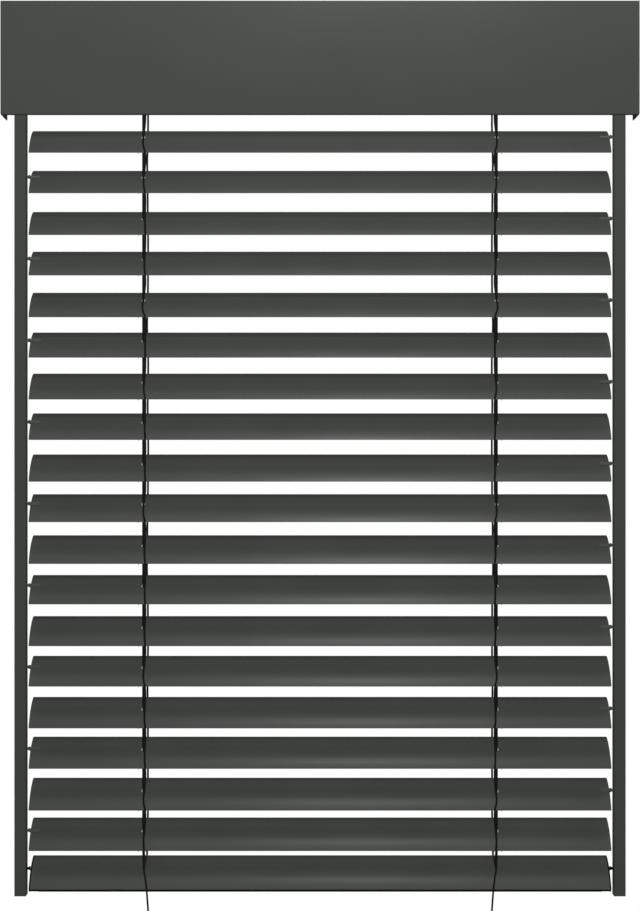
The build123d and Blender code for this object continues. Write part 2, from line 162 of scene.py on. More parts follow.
# Braid on a cord's own UV: two sets of slanting strands, with painted shade darkening the grooves between
# them
def braidGroup():
    group, start, end = startGroup("braidedCover", {"Turns": 300.0, "Strands": 4.0}, ("Height", "Shade"))
    parts = group.nodes.new("ShaderNodeSeparateXYZ")
    group.links.new(group.nodes.new("ShaderNodeTexCoord").outputs["UV"], parts.inputs[0])
    around = mathNode(group, "MULTIPLY", parts.outputs["X"], start.outputs["Strands"])
    along = mathNode(group, "MULTIPLY", parts.outputs["Y"], start.outputs["Turns"])
    fullTurn = 2 * math.pi
    rise = mathNode(group, "ADD", around, along)
    fall = mathNode(group, "SUBTRACT", around, along)
    rising = mathNode(group, "SINE", mathNode(group, "MULTIPLY", rise, fullTurn))
    falling = mathNode(group, "SINE", mathNode(group, "MULTIPLY", fall, fullTurn))
    height = mathNode(group, "MAXIMUM", rising, falling)
    group.links.new(height, end.inputs["Height"])
    # Painted shade: colour factor from the strands' height, darker in the grooves
    group.links.new(rampNode(group, height, *grainShape["strandSpan"]), end.inputs["Shade"])
    return group


# Moulded plastic: fine spark-eroded grain and soft tone changes
def mouldedGroup():
    group, start, end = startGroup("mouldedGrain", {"Grain": 1800.0}, ("Height", "Tone"))
    place = group.nodes.new("ShaderNodeTexCoord").outputs["Object"]
    grain = noiseNode(group, place, start.outputs["Grain"], grainShape["grainDetail"])
    tone = noiseNode(group, place, grainShape["toneScale"], grainShape["toneDetail"])
    group.links.new(grain, end.inputs["Height"])
    group.links.new(rampNode(group, tone, *grainShape["span"]), end.inputs["Tone"])
    return group


# Zinc: crystals of differing brightness
def zincGroup():
    group, start, end = startGroup("zincCrystals", {"Crystals": 160.0}, ("Tone", "Height"))
    place = group.nodes.new("ShaderNodeTexCoord").outputs["Object"]
    cells = group.nodes.new("ShaderNodeTexVoronoi")
    group.links.new(place, cells.inputs["Vector"])
    group.links.new(start.outputs["Crystals"], cells.inputs["Scale"])
    parts = group.nodes.new("ShaderNodeSeparateColor")
    group.links.new(cells.outputs["Color"], parts.inputs[0])
    group.links.new(parts.outputs["Red"], end.inputs["Tone"])
    pits = noiseNode(group, place, grainShape["pitScale"], grainShape["pitDetail"])
    group.links.new(pits, end.inputs["Height"])
    return group


groups = {"lacquer": lacquerGroup(), "drawn": drawnGroup(), "braid": braidGroup(),
          "moulded": mouldedGroup(), "zinc": zincGroup()}


def startFinish(name):
    material = bpy.data.materials.new(name)
    material.use_nodes = True
    return material, material.node_tree, material.node_tree.nodes["Principled BSDF"]


def placeGroup(tree, name, values):
    node = tree.nodes.new("ShaderNodeGroup")
    node.node_tree = groups[name]
    for label, value in values.items():
        node.inputs[label].default_value = value
    return node.outputs


def colourBetween(tree, factor, first, second):
    node = tree.nodes.new("ShaderNodeMix")
    node.data_type = "RGBA"
    tree.links.new(factor, node.inputs["Factor"])
    node.inputs["A"].default_value = (*first, 1.0)
    node.inputs["B"].default_value = (*second, 1.0)
    return node.outputs["Result"]


def valueBetween(tree, factor, first, second):
    node = tree.nodes.new("ShaderNodeMapRange")
    tree.links.new(factor, node.inputs["Value"])
    node.inputs["To Min"].default_value = first
    node.inputs["To Max"].default_value = second
    return node.outputs["Result"]


def bumpNormal(tree, height, strength, distance):
    node = tree.nodes.new("ShaderNodeBump")
    node.inputs["Strength"].default_value = strength
    node.inputs["Distance"].default_value = distance
    tree.links.new(height, node.inputs["Height"])
    return node.outputs["Normal"]


# Colour, roughness and bump of a finish, from the outputs of its groups
bumpDepth = {"skin": 0.0002, "braid": 0.0003}


def wireFinish(tree, shader, values, tone, sheen, height, depth):
    colour = colourBetween(tree, tone, values["dark"], values["light"])
    tree.links.new(colour, shader.inputs["Base Color"])
    roughness = valueBetween(tree, sheen, *values["roughness"])
    tree.links.new(roughness, shader.inputs["Roughness"])
    normal = bumpNormal(tree, height, values["bump"], depth)
    tree.links.new(normal, shader.inputs["Normal"])


# Anthracite lacquer on strip, sheet and extrusions
def lacquerFinish(name, values):
    material, tree, shader = startFinish(name)
    skin = placeGroup(tree, "lacquer", {"Peel": values["peel"], "Mottle": values["mottle"]})
    lines = placeGroup(tree, "drawn", dict(zip("XYZ", values["lines"])))
    sheen = mathNode(tree, "MULTIPLY", mathNode(tree, "ADD", skin["Tone"], lines["Streak"]), 0.5)  # mean
    wireFinish(tree, shader, values, skin["Tone"], sheen, skin["Height"], bumpDepth["skin"])
    shader.inputs["Specular IOR Level"].default_value = values["specular"]
    shader.inputs["Metallic"].default_value = values["pigment"]
    shader.inputs["Specular Tint"].default_value = (*[values["glance"]] * 3, 1.0)
    return material


def plasticFinish(name, values):
    material, tree, shader = startFinish(name)
    grain = placeGroup(tree, "moulded", {"Grain": values["grain"]})
    wireFinish(tree, shader, values, grain["Tone"], grain["Tone"], grain["Height"], bumpDepth["skin"])
    shader.inputs["Specular IOR Level"].default_value = values["specular"]
    return material


def zincFinish(name, values):
    material, tree, shader = startFinish(name)
    zinc = placeGroup(tree, "zinc", {"Crystals": values["crystals"]})
    wireFinish(tree, shader, values, zinc["Tone"], zinc["Tone"], zinc["Height"], bumpDepth["skin"])
    shader.inputs["Metallic"].default_value = 1.0
    return material


def braidFinish(name, values):
    material, tree, shader = startFinish(name)
    braid = placeGroup(tree, "braid", {"Turns": values["turns"], "Strands": values["strands"]})
    # Colour from the braid's height: painted shade in the grooves between strands
    wireFinish(tree, shader, values, braid["Shade"], braid["Shade"], braid["Height"], bumpDepth["braid"])
    shader.inputs["Sheen Weight"].default_value = values["sheen"]
    shader.inputs["Specular IOR Level"].default_value = values["specular"]
    return material


slatLacquer = lacquerFinish("slatLacquer", {
    "dark": (0.0738, 0.0785, 0.0714), "light": (0.0797, 0.0845, 0.0774), "roughness": (0.32, 0.36),
    "peel": 2600.0, "mottle": 9.0, "lines": (2.0, 900.0, 900.0), "bump": 0.04, "specular": 0.0,
    "pigment": 0.21, "glance": 0.0})
fasciaLacquer = lacquerFinish("fasciaLacquer", {
    "dark": (0.0627, 0.0668, 0.0607), "light": (0.0677, 0.0718, 0.0658), "roughness": (0.43, 0.48),
    "peel": 1500.0, "mottle": 5.0, "lines": (2.0, 700.0, 700.0), "bump": 0.06, "specular": 0.0,
    "pigment": 0.31, "glance": 0.0})
railLacquer = lacquerFinish("railLacquer", {
    "dark": (0.0600, 0.0640, 0.0581), "light": (0.0649, 0.0688, 0.0630), "roughness": (0.46, 0.56),
    "peel": 1500.0, "mottle": 7.0, "lines": (900.0, 900.0, 2.0), "bump": 0.06, "specular": 0.0,
    "pigment": 0.1, "glance": 0.0})
motorLacquer = lacquerFinish("motorLacquer", {
    "dark": (0.42, 0.43, 0.44), "light": (0.48, 0.49, 0.5), "roughness": (0.4, 0.48),
    "peel": 1200.0, "mottle": 14.0, "lines": (2.0, 600.0, 600.0), "bump": 0.1, "specular": 0.5,
    "pigment": 0.0, "glance": 1.0})
blackPlastic = plasticFinish("blackPlastic", {
    "dark": (0.006, 0.006, 0.006), "light": (0.011, 0.011, 0.011), "roughness": (0.42, 0.55),
    "grain": 1800.0, "bump": 0.12, "specular": 0.4})
# Black plastic of the rail's cover and end caps, made near black as painted shade of the underside that
# gets no light
coverPlastic = plasticFinish("coverPlastic", {
    "dark": (0.0026, 0.0026, 0.0026), "light": (0.0044, 0.0044, 0.0044), "roughness": (0.6, 0.7),
    "grain": 1800.0, "bump": 0.12, "specular": 0.03})
pinPlastic = plasticFinish("pinPlastic", {
    "dark": (0.074, 0.078, 0.073), "light": (0.082, 0.086, 0.08), "roughness": (0.36, 0.44),
    "grain": 1800.0, "bump": 0.06, "specular": 0.1})
greyPlastic = plasticFinish("greyPlastic", {
    "dark": (0.28, 0.29, 0.29), "light": (0.34, 0.35, 0.35), "roughness": (0.45, 0.6),
    "grain": 1500.0, "bump": 0.12, "specular": 0.4})
eyeletPlastic = plasticFinish("eyeletPlastic", {
    "dark": (0.05, 0.052, 0.05), "light": (0.065, 0.067, 0.064), "roughness": (0.46, 0.54),
    "grain": 1800.0, "bump": 0.04, "specular": 0.03})
zincSteel = zincFinish("zincSteel", {
    "dark": (0.27, 0.28, 0.29), "light": (0.4, 0.41, 0.42), "roughness": (0.36, 0.52),
    "crystals": 160.0, "bump": 0.08})
stringBraid = braidFinish("stringBraid", {
    "dark": (0.004, 0.004, 0.004), "light": (0.013, 0.013, 0.013), "roughness": (0.7, 0.85),
    "turns": 420.0, "strands": 4.0, "bump": 0.5, "sheen": 0.02, "specular": 0.05})
tapeWeave = braidFinish("tapeWeave", {
    "dark": (0.004, 0.004, 0.004), "light": (0.012, 0.012, 0.012), "roughness": (0.65, 0.8),
    "turns": 900.0, "strands": 6.0, "bump": 0.4, "sheen": 0.02, "specular": 0.05})
print("finishes made")


# Finishes of the solids that are shown as they are
solidFinishes = {
    "fascia_end_cap_left": fasciaLacquer, "fascia_end_cap_right": fasciaLacquer,
    "guide_rail_left": railLacquer, "guide_rail_right": railLacquer,
    "head_rail": zincSteel, "ceiling_brackets": zincSteel, "screws": zincSteel, "drive_shaft": zincSteel,
    "drive_motor": motorLacquer, "rail_adapters": blackPlastic, "tape_reels": greyPlastic,
    "tilt_drums": greyPlastic, "bearing_housing_left": greyPlastic, "bearing_housing_right": greyPlastic,
    "bottom_gliders": blackPlastic, "bottom_rail_cover": coverPlastic, "bottom_rail_end_caps": coverPlastic}
for name in nodes:
    if name.startswith("glider_"):
        solidFinishes[name] = blackPlastic


def finishSolid(name, material):
    slots = nodes[name].data.materials
    slots.clear()
    slots.append(material)


for name, material in solidFinishes.items():
    finishSolid(name, material)
print("solids finished:", len(solidFinishes))


def meshFrom(name, shape):
    mesh = bpy.data.meshes.new(name)
    shape.to_mesh(mesh)
    shape.free()
    return mesh


def newPiece(name, shape, material):
    return pieceFromMesh(name, meshFrom(name, shape), material)


# Piece from a mesh, shaded smooth up to a corner angle
def pieceFromMesh(name, mesh, material, sharpDegrees=35.0):
    mesh.name = name
    mesh.materials.clear()
    mesh.materials.append(material)
    for polygon in mesh.polygons:
        polygon.use_smooth = True
    mesh.set_sharp_from_angle(angle=math.radians(sharpDegrees))
    piece = bpy.data.objects.new(name, mesh)
    bpy.context.collection.objects.link(piece)
    return piece


cornerAngle = 1.2  # radians; edges bent by more than this are rounded off


def roundOff(shape, geom, offset, segments, affect="EDGES"):
    bmesh.ops.bevel(shape, geom=geom, offset=offset, segments=segments, profile=0.5, affect=affect,
                    material=-1)


def grownVerts(grown):
    return [item for item in grown if isinstance(item, bmesh.types.BMVert)]


# Mirrored to the other side, faces turned out again
def mirrorShape(shape):
    bmesh.ops.scale(shape, vec=(-1, 1, 1), verts=shape.verts)
    bmesh.ops.reverse_faces(shape, faces=shape.faces)


# Thickness for a sheet whose faces first all turn up
def thickenUp(shape, sheet):
    bmesh.ops.recalc_face_normals(shape, faces=shape.faces)
    if sum(face.normal.z for face in shape.faces) < 0:
        bmesh.ops.reverse_faces(shape, faces=shape.faces)
    bmesh.ops.solidify(shape, geom=shape.faces[:], thickness=sheet)
    bmesh.ops.recalc_face_normals(shape, faces=shape.faces)


# Curved sheet along X, crown at the origin: a line of points spun about its arc's centre
def curvedSheet(radius, halfArcDegrees, length, steps):
    shape = bmesh.new()
    halfArc = math.radians(halfArcDegrees)
    side = radius * math.sin(halfArc)
    fall = radius * (math.cos(halfArc) - 1)
    ends = [shape.verts.new((x, -side, fall)) for x in (-length / 2, length / 2)]
    line = shape.edges.new(ends)
    bmesh.ops.spin(shape, geom=[*ends, line], cent=(0, 0, -radius), axis=(-1, 0, 0),
                   angle=2 * halfArc, steps=steps, use_merge=False)
    return shape


# Upright prism with rounded corners, for trimming a sheet or cutting a slot
def roundedPrism(sizeX, sizeY, corner, height, segments):
    shape = bmesh.new()
    bmesh.ops.create_cube(shape, size=1.0)
    bmesh.ops.scale(shape, vec=(sizeX, sizeY, height), verts=shape.verts)
    upright = [edge for edge in shape.edges if abs(edge.verts[0].co.z - edge.verts[1].co.z) > height / 2]
    roundOff(shape, upright, corner, segments)
    return shape


def helperObject(name, shape):
    helper = bpy.data.objects.new(name, meshFrom(name, shape))
    bpy.context.collection.objects.link(helper)
    return helper


# Shape after Boolean cuts, as a mesh; the helpers are taken away
def cutMesh(shape, cuts):
    body = helperObject("cutBody", shape)
    for operation, tool in cuts:
        step = body.modifiers.new("cut", "BOOLEAN")
        step.operation = operation
        step.object = tool
        step.solver = "EXACT"
    bpy.context.view_layer.update()
    graph = bpy.context.evaluated_depsgraph_get()
    mesh = bpy.data.meshes.new_from_object(body.evaluated_get(graph))
    for helper in (body, *(tool for operation, tool in cuts)):
        bpy.data.objects.remove(helper)
    return mesh


# Slats
slatShape = {"radius": 0.098344, "halfArcDegrees": 24.0, "sheet": 0.00045, "length": 1.021, "width": 0.08,
             "corner": 0.002, "cornerSegments": 6, "steps": 64, "tiltDegrees": 36.4, "pinRise": 0.0015,
             "trim": 0.02, "planSpare": 0.0009, "planHeight": 0.08, "sharpDegrees": 30.0,
             "slotPlace": 0.3114, "slotWidth": 0.0066, "slotLength": 0.012, "slotRound": 0.49,
             "slotHeight": 0.04}
outerRadius = slatShape["radius"] + slatShape["sheet"] / 2


# Prism in a slot's place, its ends almost half round
def slotPrism(side, width, length):
    shape = roundedPrism(width, length, width * slatShape["slotRound"], slatShape["slotHeight"],
                         slatShape["cornerSegments"])
    bmesh.ops.translate(shape, vec=(side * slatShape["slotPlace"], 0, 0), verts=shape.verts)
    return shape


def slotCutter(side, width, length):
    return helperObject("slotCutter", slotPrism(side, width, length))


def slatBlank():
    shape = curvedSheet(outerRadius, slatShape["halfArcDegrees"], slatShape["length"] + slatShape["trim"],
                        slatShape["steps"])
    bmesh.ops.translate(shape, vec=(0, 0, slatShape["sheet"] / 2), verts=shape.verts)
    thickenUp(shape, slatShape["sheet"])
    planShape = roundedPrism(slatShape["length"], slatShape["width"] + slatShape["planSpare"],
                             slatShape["corner"], slatShape["planHeight"], slatShape["cornerSegments"])
    plan = helperObject("plan", planShape)
    slots = [slotCutter(side, slatShape["slotWidth"], slatShape["slotLength"]) for side in (-1, 1)]
    return cutMesh(shape, [("INTERSECT", plan), *(("DIFFERENCE", slot) for slot in slots)])


# From a slat's own frame to its place on the pin
def onPin(pin):
    return (Matrix.Translation(pin) @ Matrix.Rotation(math.radians(slatShape["tiltDegrees"]), 4, "X")
            @ Matrix.Translation((0, 0, -slatShape["pinRise"])))


slatMesh = slatBlank()
slatPins = {joint["child"]: Vector(joint["pos_m"])
            for name, joint in joints.items() if name.startswith("tilt_")}
for name, pin in slatPins.items():
    mesh = slatMesh.copy()
    mesh.transform(onPin(pin))
    slat = pieceFromMesh("curved" + name.title().replace("_", ""), mesh, slatLacquer,
                         slatShape["sharpDegrees"])
    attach(slat, name)
    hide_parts(name)
print("slats:", len(slatPins), "of", len(slatMesh.polygons), "faces")


# Guide pins: a rounded tongue on the crown, a shoulder that narrows towards the rail and the round pin
pinShape = {"radius": 0.00225, "coneRadius": 0.0042, "coneStart": 0.5108, "coneEnd": 0.515, "end": 0.5261,
            "tongueStart": 0.4925, "tongueEnd": 0.5111, "tongueWidth": 0.0076, "tongueSheet": 0.002,
            "tongueRound": 0.49, "tongueSegments": 8, "tongueEdge": 0.0012, "tongueEdgeSegments": 4,
            "gap": 0.000245, "edge": 0.0004, "edgeSegments": 2, "segments": 24, "level": 1e-6}


def addRod(shape, startRadius, endRadius, start, end):
    middle = Matrix.Translation(((start + end) / 2, 0, slatShape["pinRise"]))
    rod = bmesh.ops.create_cone(shape, cap_ends=True, segments=pinShape["segments"], radius1=startRadius,
                                radius2=endRadius, depth=end - start,
                                matrix=middle @ Matrix.Rotation(math.pi / 2, 4, "Y"))
    edges = dict.fromkeys(e for v in rod["verts"] for e in v.link_edges)
    rims = [e for e in edges if abs(e.verts[0].co.x - e.verts[1].co.x) < pinShape["level"]]
    roundOff(shape, rims, pinShape["edge"], pinShape["edgeSegments"])


def addTongue(shape):
    length = pinShape["tongueEnd"] - pinShape["tongueStart"]
    size = (length, pinShape["tongueWidth"], pinShape["tongueSheet"])
    middle = ((pinShape["tongueStart"] + pinShape["tongueEnd"]) / 2, 0, pinShape["gap"] + size[2] / 2)
    bmesh.ops.create_cube(shape, size=1.0, matrix=Matrix.Translation(middle) @ Matrix.Diagonal((*size, 1)))
    corners = [e for e in shape.edges if abs(e.verts[0].co.z - e.verts[1].co.z) > size[2] / 2
               and e.verts[0].co.x < middle[0]]
    roundOff(shape, corners, size[1] * pinShape["tongueRound"], pinShape["tongueSegments"])
    top = [e for e in shape.edges if min(v.co.z for v in e.verts) > middle[2]
           and e.calc_face_angle(0) > cornerAngle]
    roundOff(shape, top, pinShape["tongueEdge"], pinShape["tongueEdgeSegments"])


def guidePin():
    shape = bmesh.new()
    addTongue(shape)
    addRod(shape, pinShape["coneRadius"], pinShape["radius"] + pinShape["edge"], pinShape["coneStart"],
           pinShape["coneEnd"])
    addRod(shape, pinShape["radius"], pinShape["radius"], pinShape["coneStart"], pinShape["end"])
    return shape


for index, (name, pin) in enumerate(slatPins.items()):
    shape = guidePin()
    if index % 2:
        mirrorShape(shape)
    bmesh.ops.transform(shape, matrix=onPin(pin), verts=shape.verts)
    piece = newPiece("guidePin%02d" % (index + 1), shape, pinPlastic)
    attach(piece, name)
    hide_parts(name)
print("guide pins:", len(slatPins))


# Slot eyelets: a moulded rim clipped into each tape slot
eyeletShape = {"flange": 0.0012, "height": 0.0008, "lip": 0.0005, "segments": 32, "edge": 0.00025,
               "edgeSegments": 2}


def addEyelet(shape, side):
    halfWidth = slatShape["slotWidth"] / 2
    stretch = slatShape["slotLength"] / 2 - halfWidth
    ring = bmesh.ops.create_circle(shape, segments=eyeletShape["segments"],
                                   radius=halfWidth - eyeletShape["lip"])["verts"]
    inner = list(dict.fromkeys(e for v in ring for e in v.link_edges))
    outerVerts = grownVerts(bmesh.ops.extrude_edge_only(shape, edges=inner)["geom"])
    grow = (halfWidth + eyeletShape["flange"]) / (halfWidth - eyeletShape["lip"])
    bmesh.ops.scale(shape, vec=(grow, grow, 1), verts=outerVerts)
    verts = [*ring, *outerVerts]
    for vert in verts:
        vert.co.y += math.copysign(stretch, vert.co.y)
        drop = vert.co.y ** 2 / (2 * slatShape["radius"])
        vert.co.z = slatShape["sheet"] / 2 + eyeletShape["height"] / 2 - drop
        vert.co.x += side * slatShape["slotPlace"]


def eyelets():
    shape = bmesh.new()
    for side in (-1, 1):
        addEyelet(shape, side)
    thickenUp(shape, eyeletShape["height"])
    rims = [e for e in shape.edges if e.calc_face_angle(0) > cornerAngle]
    roundOff(shape, rims, eyeletShape["edge"], eyeletShape["edgeSegments"])
    return shape


for index, (name, pin) in enumerate(slatPins.items()):
    shape = eyelets()
    bmesh.ops.transform(shape, matrix=onPin(pin), verts=shape.verts)
    piece = newPiece("slotEyelets%02d" % (index + 1), shape, eyeletPlastic)
    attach(piece, name)
print("eyelets:", 2 * len(slatPins))


tubeBevel = 3  # bevel resolution of the strings
perMetre = 1000  # millimetres


# Round cord along a NURBS route
def cordObject(name, route, radius, bevel, rows):
    curve = bpy.data.curves.new(name, "CURVE")
    curve.dimensions = "3D"
    curve.bevel_depth = radius
    curve.bevel_resolution = bevel
    curve.use_fill_caps = True
    spline = curve.splines.new("NURBS")
    spline.points.add(len(route) - 1)
    for point, place in zip(spline.points, route):
        point.co = (*place, 1.0)
    spline.order_u = 3
    spline.use_endpoint_u = True
    spline.resolution_u = rows
    cord = bpy.data.objects.new(name, curve)
    bpy.context.collection.objects.link(cord)
    return cord


# The same as a mesh, with UV around and along it
def tubeMesh(name, route, radius, rows):
    helper = cordObject(name, route, radius, tubeBevel, rows)
    mesh = bpy.data.meshes.new_from_object(helper)
    bpy.data.objects.remove(helper)
    return mesh


def joinMeshes(name, meshes):
    shape = bmesh.new()
    for mesh in meshes:
        shape.from_mesh(mesh)
    return meshFrom(name, shape)


def mirrorRoute(route):
    return [(-x, y, z) for x, y, z in route]


# One tube and its mirror image
def tubePair(name, route, radius, rows):
    return joinMeshes(name, [tubeMesh("tube", line, radius, rows) for line in (route, mirrorRoute(route))])


# Ladder strings: they leave the tilt drums, hang along the slats' edges and sway a little from slat to slat
ladderShape = {"radius": 0.0018, "leadRows": 8, "hangRows": 4, "hangX": 0.3075, "drumX": 0.3234,
               "drumY": 0.0203, "shaftZ": -0.0285, "leadZ": -0.06, "gatherZ": -0.077, "hangZ": -0.112,
               "frontY": -0.02836, "rearY": 0.04023, "tuckOver": 0.004, "tuckIn": 0.003,
               "rearEdge": 0.0157, "rearEndX": 0.3083, "footLength": 0.012, "footLean": -0.0004,
               "footRadius": 0.0016, "footRows": 8, "slotX": 0.3099, "slotY": -0.0028, "tuck": 0.022,
               "gapRises": (0.04, 0.02), "lapRises": (-0.008, -0.02), "gapSway": -1.9,
               "frontSway": (2.3, 1.3, -1.1, 0.0, 3.3, -1.3, 1.1, -0.7, -0.9, 1.8, -0.1, -0.6, -0.3, 1.8,
                             -0.1, -0.4, 1.5, 1.4),
               "rearSway": (-1.1, 0.5, -0.4, -1.1, -0.9, 0.7, -1.3, -0.4, -1.3, -0.9, 0.2, 0.9, -0.7, -0.9,
                            -0.1, -0.8, -0.8, -0.8)}
pinHeights = [pin.z for pin in slatPins.values()]
bottomPin = Vector(joints["tilt"]["pos_m"])


def gatherPoint(hangY, drumY):
    share = (ladderShape["gatherZ"] - ladderShape["leadZ"]) / (ladderShape["hangZ"] - ladderShape["leadZ"])
    return (ladderShape["drumX"] + (ladderShape["hangX"] - ladderShape["drumX"]) * share,
            drumY + (hangY - drumY) * share, ladderShape["gatherZ"])


def leadRoute(hangY, drumY):
    drop = [(ladderShape["drumX"], drumY, ladderShape[height]) for height in ("shaftZ", "leadZ")]
    return [*drop, gatherPoint(hangY, drumY)]


# Places of a string at one slat, as rise over the slat's pin and sway in millimetres
def frontPlaces(sway):
    return [(rise, ladderShape["gapSway"]) for rise in ladderShape["gapRises"]] + [
        (rise, sway) for rise in ladderShape["lapRises"]]


def rearPlaces(sway):
    return [(rise, sway) for rise in ladderShape["gapRises"]]


def hangRoute(hangY, drumY, slatPlaces):
    route = [gatherPoint(hangY, drumY), (ladderShape["hangX"], hangY, ladderShape["hangZ"])]
    for height, places in zip(pinHeights, slatPlaces):
        for rise, sway in places:
            route.append((ladderShape["hangX"] + sway / perMetre, hangY, height + rise))
    return route


def ladderStrings(name, body, node, hangY, drumY, slatPlaces, ending):
    lead = leadRoute(hangY, drumY)
    hang = [*hangRoute(hangY, drumY, slatPlaces), *ending]
    for part, route, rows in (("Lead", lead, ladderShape["leadRows"]),
                              ("Hang", hang, ladderShape["hangRows"])):
        tubes = tubePair(name + part, route, ladderShape["radius"], rows)
        piece = pieceFromMesh(name + part, tubes, stringBraid)
        if part == "Lead":
            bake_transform(piece)
        else:
            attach(piece, body)
            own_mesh(piece)
            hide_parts(node)


tuckZ = bottomPin.z + ladderShape["tuck"]
ladderStrings("frontString", "ladder_front", "ladder_strings_front", ladderShape["frontY"],
              -ladderShape["drumY"], [frontPlaces(sway) for sway in ladderShape["frontSway"]],
              [(ladderShape["hangX"], ladderShape["frontY"], tuckZ + ladderShape["tuckOver"]),
               (ladderShape["hangX"], ladderShape["frontY"] + ladderShape["tuckIn"],
                tuckZ - ladderShape["tuckIn"]),
               (ladderShape["slotX"], ladderShape["slotY"], bottomPin.z)])
ladderStrings("rearString", "ladder_rear", "ladder_strings_rear", ladderShape["rearY"],
              ladderShape["drumY"], [rearPlaces(sway) for sway in ladderShape["rearSway"]],
              [(ladderShape["rearEndX"], ladderShape["rearY"], bottomPin.z + ladderShape["rearEdge"])])


# Feet inside the rear strings' ends: they draw out when the bottom rail's rear edge tilts down
def rearFeet():
    endZ = bottomPin.z + ladderShape["rearEdge"]
    topZ = endZ + ladderShape["footLength"]
    route = [(ladderShape["rearEndX"] + ladderShape["footLean"], ladderShape["rearY"], topZ),
             (ladderShape["rearEndX"], ladderShape["rearY"], endZ)]
    tubes = tubePair("rearStringFeet", route, ladderShape["footRadius"], ladderShape["footRows"])
    piece = pieceFromMesh("rearStringFeet", tubes, stringBraid)
    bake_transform(piece)


rearFeet()
print("ladder strings hung")


# Lift tapes: flat woven tape from the reels through the slots into the bottom rail
tapeShape = {"width": 0.0046, "endShare": 0.45, "sheet": 0.0004, "reelY": -0.0093, "reelZ": -0.0285,
             "leadZ": -0.0405, "gatherZ": -0.077, "end": -0.005, "rows": 40}


# Tapes on both sides along a route of Y and Z; endShare narrows the last row
def tapeMesh(name, route, endShare=1.0):
    shape = bmesh.new()
    uvLayer = shape.loops.layers.uv.new("UVMap")
    half = tapeShape["width"] / 2
    ends = [shape.verts.new((slatShape["slotPlace"] + x, *route[0])) for x in (-half, half)]
    edges = [shape.edges.new(ends)]
    for (startY, startZ), (endY, endZ) in zip(route, route[1:]):
        grown = bmesh.ops.extrude_edge_only(shape, edges=edges)["geom"]
        bmesh.ops.translate(shape, vec=(0, endY - startY, endZ - startZ), verts=grownVerts(grown))
        edges = [g for g in grown if isinstance(g, bmesh.types.BMEdge)]
    for vert in edges[0].verts:
        vert.co.x = slatShape["slotPlace"] + (vert.co.x - slatShape["slotPlace"]) * endShare
    bmesh.ops.recalc_face_normals(shape, faces=shape.faces)
    bmesh.ops.solidify(shape, geom=shape.faces[:], thickness=tapeShape["sheet"])
    bmesh.ops.translate(shape, vec=(0, tapeShape["sheet"] / 2, 0), verts=shape.verts)
    for face in shape.faces:
        for loop in face.loops:
            along = loop.vert.co.z / cadBox[0].z
            loop[uvLayer].uv = ((loop.vert.co.x - slatShape["slotPlace"]) / tapeShape["width"], along)
    other = shape.copy()
    mirrorShape(other)
    return joinMeshes(name, [meshFrom(name, side) for side in (shape, other)])


tapeLow = bottomPin.z + tapeShape["end"]
tapeRows = tapeShape["rows"]
tapeFall = [(0.0, tapeShape["gatherZ"] + (tapeLow - tapeShape["gatherZ"]) * row / tapeRows)
            for row in range(tapeRows + 1)]
tapeLead = [(tapeShape["reelY"], tapeShape["reelZ"]), (tapeShape["reelY"], tapeShape["leadZ"]),
            (0.0, tapeShape["gatherZ"])]
leadTape = pieceFromMesh("liftTapeLead", tapeMesh("liftTapeLead", tapeLead), tapeWeave)
hangMesh = tapeMesh("liftTapeHang", tapeFall, tapeShape["endShare"])
hangTape = pieceFromMesh("liftTapeHang", hangMesh, tapeWeave)
for piece in (leadTape, hangTape):
    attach(piece, "root")
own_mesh(hangTape)
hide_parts("lift_tapes")
print("lift tapes hung")


# Loose tails under the bottom rail, on the route of their solids
tailShape = {"radius": 0.0017, "length": 0.083, "bevel": 4, "rows": 10,
             "route": ((310.6, -2.8, 2.0), (308.2, -10.9, 8.8), (306.5, -18.0, 16.5),
                       (304.8, -24.2, 24.9), (303.5, -28.4, 31.8), (302.4, -29.7, 44.0),
                       (301.5, -29.9, 57.0), (300.2, -29.6, 74.5))}


def cordTail(name, side, node):
    route = [(side * x / perMetre, y / perMetre, bottomPin.z - drop / perMetre)
             for x, y, drop in tailShape["route"]]
    piece = cordObject(name, route, tailShape["radius"], tailShape["bevel"], tailShape["rows"])
    piece.data.materials.append(stringBraid)
    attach(piece, "bottom_rail")
    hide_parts(node)


cordTail("cordTailRight", 1, "cord_tail_right")
cordTail("cordTailLeft", -1, "cord_tail_left")
print("cord tails hung")


# Ladder rungs: two thin strings per ladder under each slat, from its front edge to its rear one
rungShape = {"radius": 0.0005, "beside": 0.003, "clear": 0.0004, "points": 7, "slack": 1.06, "rows": 4}


def rungRoute(x):
    reach = slatShape["width"] / 2 + rungShape["clear"]
    route = []
    for step in range(rungShape["points"]):
        y = reach * (2 * step / (rungShape["points"] - 1) - 1)
        drop = (y ** 2 / (2 * slatShape["radius"]) + slatShape["sheet"] / 2 + rungShape["radius"]
                + rungShape["clear"])
        route.append((x, y, -drop * rungShape["slack"]))
    return route


def rungMesh():
    meshes = []
    for side in (-1, 1):
        for shift in (-1, 1):
            x = slatShape["slotPlace"] + shift * (slatShape["slotWidth"] / 2 + rungShape["beside"])
            meshes.append(tubeMesh("rung", rungRoute(side * x), rungShape["radius"], rungShape["rows"]))
    return joinMeshes("rungs", meshes)


rungs = rungMesh()
for index, (name, pin) in enumerate(slatPins.items()):
    mesh = rungs.copy()
    mesh.transform(onPin(pin))
    piece = pieceFromMesh("ladderRungs%02d" % (index + 1), mesh, stringBraid)
    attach(piece, name)
print("rungs:", 4 * len(slatPins))


# Bottom rail: extruded shell with a curved top and straight lips
bottomShape = {"lip": 0.001, "capSheet": 0.0025, "steps": 48, "slotWidth": 0.012, "slotLength": 0.016,
               "plugGap": 0.0001, "endRadius": 0.0013, "endRows": 8,
               "endRoute": ((0.3083, 0.0395), (0.3085, 0.028), (0.309, 0.014), (0.3099, 0.002))}


